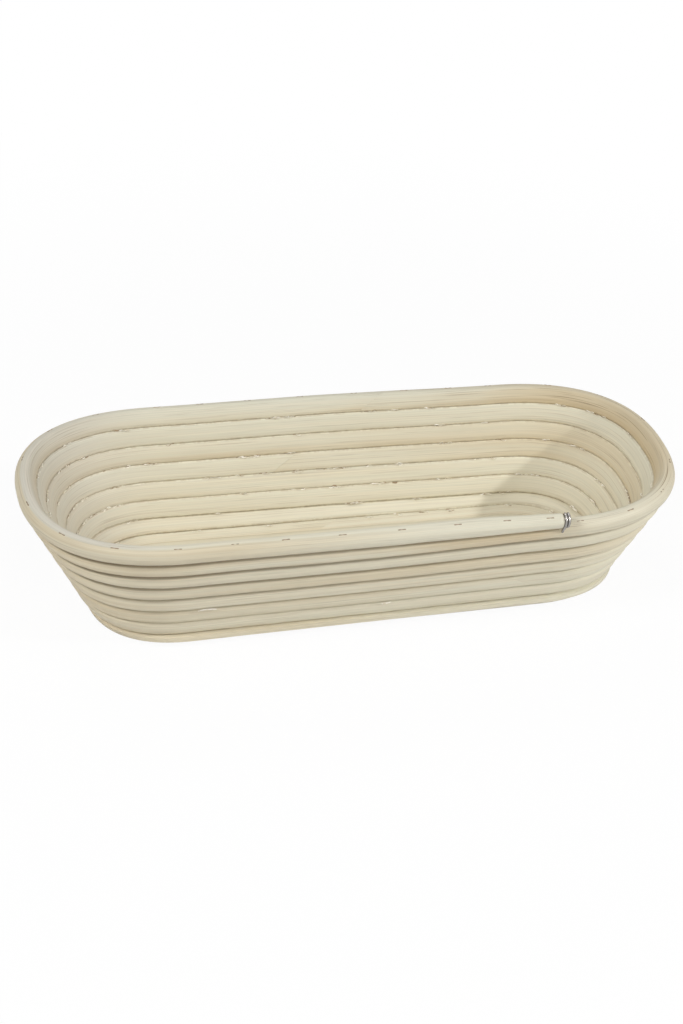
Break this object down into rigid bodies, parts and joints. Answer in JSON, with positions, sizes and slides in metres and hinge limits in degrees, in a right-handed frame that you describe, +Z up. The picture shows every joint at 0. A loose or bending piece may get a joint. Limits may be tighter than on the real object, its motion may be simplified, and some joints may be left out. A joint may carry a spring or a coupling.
{
  "type": "proofing bowl",
  "caption": "Oblong proofing bowl coiled from round rattan cane, stapled turn on turn, with flared sides, round ends and an open top for a long loaf of dough.",
  "frame": {"origin": "middle of the bowl's box, on the surface it stands on", "axes": "+X along the bowl to the end with the bound rim end on the front, +Y across to the back, +Z up"},
  "size_m": [0.3622, 0.1507, 0.0792],
  "materials": {
    "light_cane": "satin, peeled cane",
    "tan_cane": "satin, peeled cane",
    "pale_cane": "satin, peeled cane",
    "grey_cane": "satin, peeled cane",
    "bright_wire": "bright",
    "staple_steel": "dull"
  },
  "bodies": {
    "root": {"core_stick": "pale_cane", "base_cane": "pale_cane", "lower_wall_cane": "pale_cane", "middle_wall_cane": "grey_cane", "upper_wall_cane": "tan_cane", "rim_cane": "light_cane", "binding_wire": "bright_wire", "rim_staples": "staple_steel", "second_turn_staples": "staple_steel", "third_turn_staples": "staple_steel", "fourth_turn_staples": "staple_steel", "fifth_turn_staples": "staple_steel", "sixth_turn_staples": "staple_steel", "seventh_turn_staples": "staple_steel", "base_staples": "staple_steel"}
  },
  "joints": []
}
